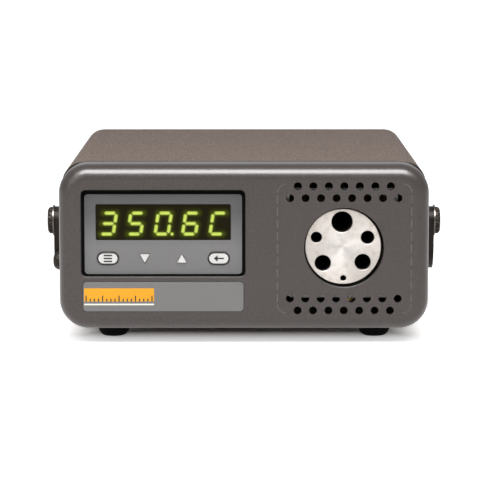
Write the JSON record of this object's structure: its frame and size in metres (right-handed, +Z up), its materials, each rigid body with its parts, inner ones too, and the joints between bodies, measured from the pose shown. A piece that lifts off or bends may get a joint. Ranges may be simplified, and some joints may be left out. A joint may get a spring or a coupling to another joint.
{
  "type": "dry block heater",
  "caption": "Bench dry block heater: a heated metal block with probe wells open on the front, a key and display panel, and a folding bail handle.",
  "frame": {"origin": "centre of the bounding box on the bench, with the handle folded behind the case", "axes": "+X to the right seen from the front, +Y from the front to the back, +Z up"},
  "size_m": [0.141, 0.1666, 0.061],
  "materials": {
    "bezel_paint": "semi-gloss grey paint",
    "cover_powder": "fine textured powder coat",
    "strap_paint": "satin dark paint",
    "black_steel": "blackened steel",
    "bright_steel": "bright plated",
    "spacer_black": "black moulded",
    "foot_rubber": "black rubber",
    "panel_grey": "printed overlay",
    "window_tint": "dark tinted",
    "housing_black": "black moulded",
    "board_green": "solder mask",
    "key_white": "white moulded",
    "label_grey": "blank printed plate",
    "block_metal": "turned face",
    "mica": "mica sheet",
    "fibre": "ceramic fibre",
    "brass": "plain brass",
    "core_iron": "varnished laminations",
    "fan_plastic": "black moulded",
    "inlet_plastic": "black moulded",
    "fuse_glass": "clear tube"
  },
  "bodies": {
    "case": {"base_tray": "cover_powder", "bezel_screws": "bright_steel", "block_end": "block_metal", "block_supports": "mica", "board_screws": "bright_steel", "board_standoffs": "brass", "control_board": "board_green", "control_sensor": "bright_steel", "cover_screws": "bright_steel", "display_housing": "housing_black", "display_panel": "panel_grey", "display_window": "window_tint", "fan_frame": "fan_plastic", "fan_screws": "bright_steel", "filter_capacitor": "block_metal", "foot_front_left": "foot_rubber", "foot_front_right": "foot_rubber", "foot_rear_left": "foot_rubber", "foot_rear_right": "foot_rubber", "foot_screws": "bright_steel", "front_bezel": "bezel_paint", "front_frame": "bright_steel", "handle_stop": "black_steel", "heat_shield": "bright_steel", "heat_sink": "block_metal", "heater_band": "bright_steel", "inlet_pins": "brass", "insulation_sleeve": "fibre", "jack_nut": "bright_steel", "key_board": "board_green", "key_switches": "housing_black", "label_plate": "label_grey", "led_digits": "housing_black", "pivot_inserts": "brass", "pivot_spacers": "spacer_black", "pivot_washers": "bright_steel", "power_inlet": "inlet_plastic", "power_switch": "inlet_plastic", "power_triac": "housing_black", "rear_panel": "bezel_paint", "rear_panel_screws": "bright_steel", "serial_jack": "inlet_plastic", "shield_posts": "brass", "terminal_block": "housing_black", "thermal_cutout": "block_metal", "top_cover": "cover_powder", "transformer": "core_iron", "well_block": "block_metal"},
    "handle": {"handle_bail": "strap_paint"},
    "pivot_left": {"pivot_screw_left": "black_steel"},
    "pivot_right": {"pivot_screw_right": "black_steel"},
    "set_key": {"key_set": "key_white"},
    "down_key": {"key_down": "key_white"},
    "up_key": {"key_up": "key_white"},
    "exit_key": {"key_exit": "key_white"},
    "fan": {"fan_rotor": "fan_plastic"},
    "rocker": {"power_rocker": "inlet_plastic"},
    "drawer": {"fuse_drawer": "inlet_plastic", "fuses": "fuse_glass"}
  },
  "joints": [
    {"name": "handle_swing", "type": "hinge", "parent": "case", "child": "handle", "pos_m": [0, -0.02325, 0.0352], "axis": [1, 0, 0], "range_deg": [0, 180]},
    {"name": "pivot_left_turn", "type": "hinge", "parent": "case", "child": "pivot_left", "pos_m": [-0.068, -0.02325, 0.0352], "axis": [-1, 0, 0], "range_deg": [0, 180]},
    {"name": "pivot_right_turn", "type": "hinge", "parent": "case", "child": "pivot_right", "pos_m": [0.068, -0.02325, 0.0352], "axis": [1, 0, 0], "range_deg": [0, 180]},
    {"name": "set_press", "type": "slide", "parent": "case", "child": "set_key", "axis": [0, 1, 0], "range_m": [0, 0.0005], "stiffness_N_per_m": 1500},
    {"name": "down_press", "type": "slide", "parent": "case", "child": "down_key", "axis": [0, 1, 0], "range_m": [0, 0.0005], "stiffness_N_per_m": 1500},
    {"name": "up_press", "type": "slide", "parent": "case", "child": "up_key", "axis": [0, 1, 0], "range_m": [0, 0.0005], "stiffness_N_per_m": 1500},
    {"name": "exit_press", "type": "slide", "parent": "case", "child": "exit_key", "axis": [0, 1, 0], "range_m": [0, 0.0005], "stiffness_N_per_m": 1500},
    {"name": "fan_spin", "type": "hinge", "parent": "case", "child": "fan", "pos_m": [0.0334, 0.05825, 0.03335], "axis": [0, 1, 0], "continuous": true},
    {"name": "rocker_tip", "type": "hinge", "parent": "case", "child": "rocker", "pos_m": [-0.007, 0.06535, 0.0395], "axis": [1, 0, 0], "range_deg": [-20, 0]},
    {"name": "drawer_slide", "type": "slide", "parent": "case", "child": "drawer", "axis": [0, 1, 0], "range_m": [0, 0.02]}
  ]
}
